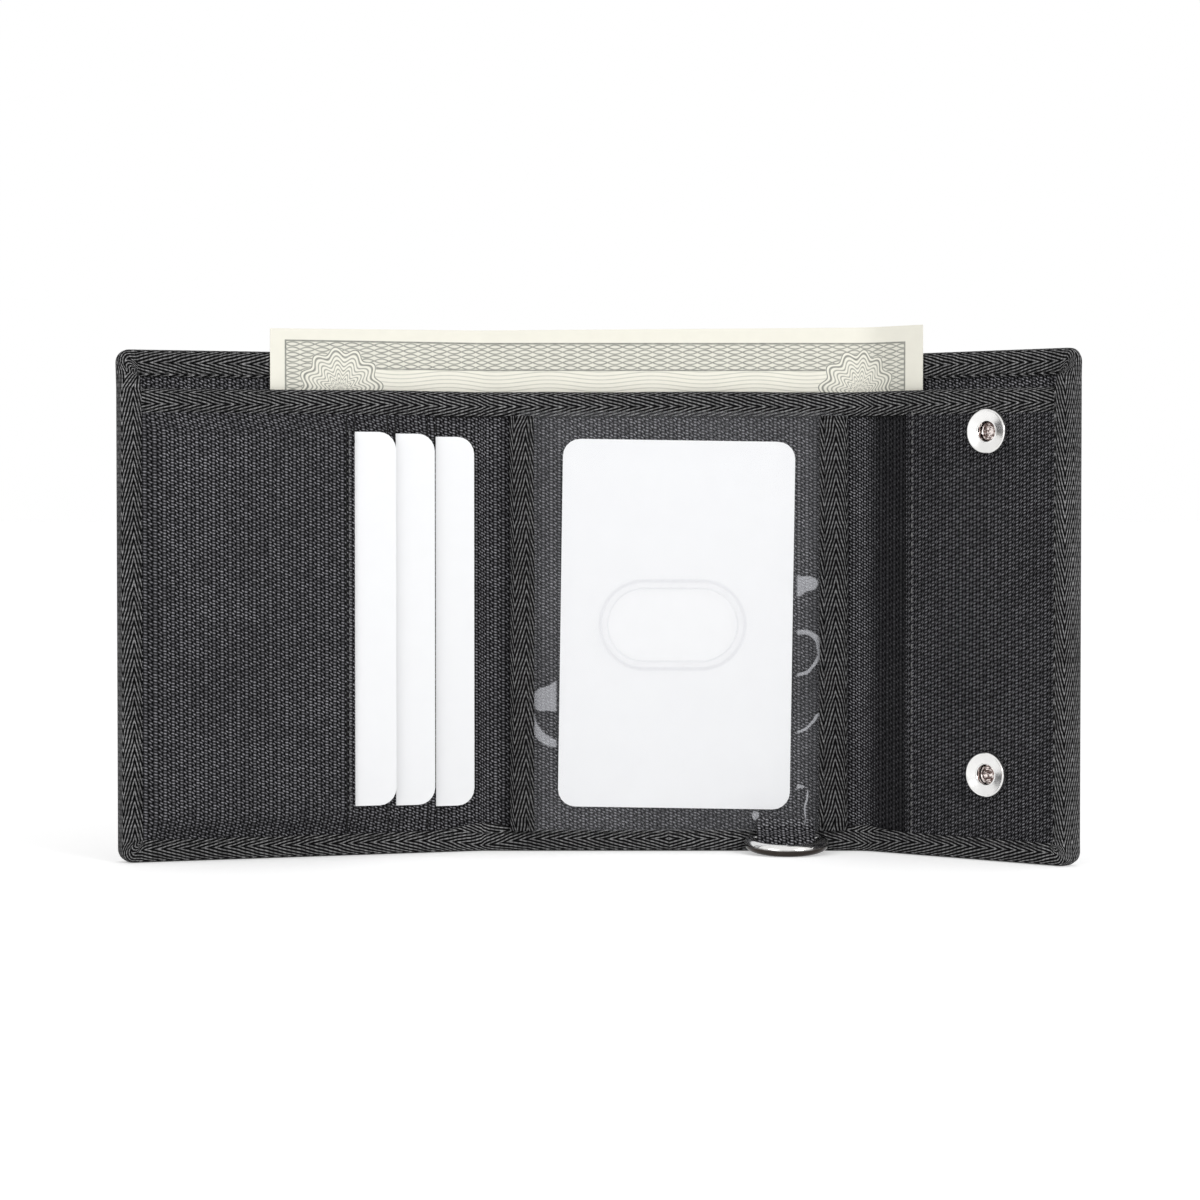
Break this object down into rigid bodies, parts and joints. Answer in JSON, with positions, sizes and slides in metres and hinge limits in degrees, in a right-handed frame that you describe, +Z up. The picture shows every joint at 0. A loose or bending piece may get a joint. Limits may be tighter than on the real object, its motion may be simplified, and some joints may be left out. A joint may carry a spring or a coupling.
{
  "type": "trifold wallet",
  "caption": "Trifold fabric wallet with card slots, a clear card window, a slip pocket, a note compartment, snap closures and a ring on a sewn tab.",
  "frame": {"origin": "middle of the bottom edge of the centre panel, on the plane the wallet stands on", "axes": "+X to the right along the centre panel, +Y to the back, away from the inside of the wallet, +Z up"},
  "size_m": [0.2173, 0.0402, 0.1222],
  "materials": {
    "nylon": "plain woven charcoal nylon, slightly slubbed",
    "twill_tape": "black ribbed binding tape",
    "white_card": "blank white card, satin",
    "clear_vinyl": "clear soft vinyl, slightly hazy",
    "note_paper": null,
    "nickel": "polished nickel plate",
    "spring_steel": "drawn wire"
  },
  "bodies": {
    "centre": {"shell_centre": "nylon", "liner_centre": "nylon", "shell_top_binding_centre": "twill_tape", "liner_top_tape_centre": "twill_tape", "bottom_binding_centre": "twill_tape", "window_vinyl": "clear_vinyl", "window_tape_left": "twill_tape", "window_tape_right": "twill_tape", "ring_tab": "twill_tape", "note_centre": "note_paper", "shell_left_fold": "nylon", "shell_right_fold": "nylon", "liner_left_fold": "nylon", "liner_right_fold": "nylon", "shell_top_binding_left_fold": "twill_tape", "shell_top_binding_right_fold": "twill_tape", "liner_top_tape_left_fold": "twill_tape", "liner_top_tape_right_fold": "twill_tape", "bottom_binding_left_fold": "twill_tape", "bottom_binding_right_fold": "twill_tape", "note_left_fold": "note_paper", "note_right_fold": "note_paper"},
    "left_wing": {"shell_left": "nylon", "liner_left": "nylon", "shell_top_binding_left": "twill_tape", "liner_top_tape_left": "twill_tape", "bottom_binding_left": "twill_tape", "side_binding_left": "twill_tape", "card_pocket_front": "nylon", "card_pocket_middle": "nylon", "card_pocket_back": "nylon", "snap_stud_upper": "nickel", "snap_stud_lower": "nickel", "snap_post_upper": "nickel", "snap_post_lower": "nickel", "note_left": "note_paper"},
    "right_wing": {"shell_right": "nylon", "liner_right": "nylon", "shell_top_binding_right": "twill_tape", "liner_top_tape_right": "twill_tape", "bottom_binding_right": "twill_tape", "side_binding_right": "twill_tape", "slip_pocket": "nylon", "snap_socket_upper": "nickel", "snap_socket_lower": "nickel", "snap_spring_upper": "spring_steel", "snap_spring_lower": "spring_steel", "snap_cap_upper": "nickel", "snap_cap_lower": "nickel", "note_right": "note_paper"},
    "card_1": {"card_1": "white_card"},
    "card_2": {"card_2": "white_card"},
    "card_3": {"card_3": "white_card"},
    "id_card": {"id_card": "white_card"},
    "d_ring": {"d_ring": "nickel"}
  },
  "joints": [
    {"name": "left_fold", "type": "hinge", "parent": "centre", "child": "left_wing", "pos_m": [-0.04285, -0.00625, 0], "axis": [0, 0, 1], "range_deg": [-18.5, 161.5], "deforming": ["shell_left_fold", "liner_left_fold", "shell_top_binding_left_fold", "liner_top_tape_left_fold", "bottom_binding_left_fold", "note_left_fold"]},
    {"name": "right_fold", "type": "hinge", "parent": "centre", "child": "right_wing", "pos_m": [0.04285, -0.01, 0], "axis": [0, 0, -1], "range_deg": [-39, 141], "deforming": ["shell_right_fold", "liner_right_fold", "shell_top_binding_right_fold", "liner_top_tape_right_fold", "bottom_binding_right_fold", "note_right_fold"]},
    {"name": "d_ring_swing", "type": "hinge", "parent": "centre", "child": "d_ring", "pos_m": [0.0271, -0.0054, 0.0026], "axis": [1, 0, 0], "range_deg": [-12, 92]},
    {"name": "card_1_slide", "type": "slide", "parent": "left_wing", "child": "card_1", "axis": [-0.9483, -0.3173, 0], "range_m": [-0.024, 0]},
    {"name": "card_2_slide", "type": "slide", "parent": "left_wing", "child": "card_2", "axis": [-0.9483, -0.3173, 0], "range_m": [-0.014, 0]},
    {"name": "card_3_slide", "type": "slide", "parent": "left_wing", "child": "card_3", "axis": [-0.9483, -0.3173, 0], "range_m": [-0.002, 0]},
    {"name": "id_card_slide", "type": "slide", "parent": "centre", "child": "id_card", "axis": [1, 0, 0], "range_m": [-0.015, 0]}
  ],
  "couplings": [
    {"joint": "d_ring_swing", "follows": "left_fold", "ratio": 0.557}
  ]
}
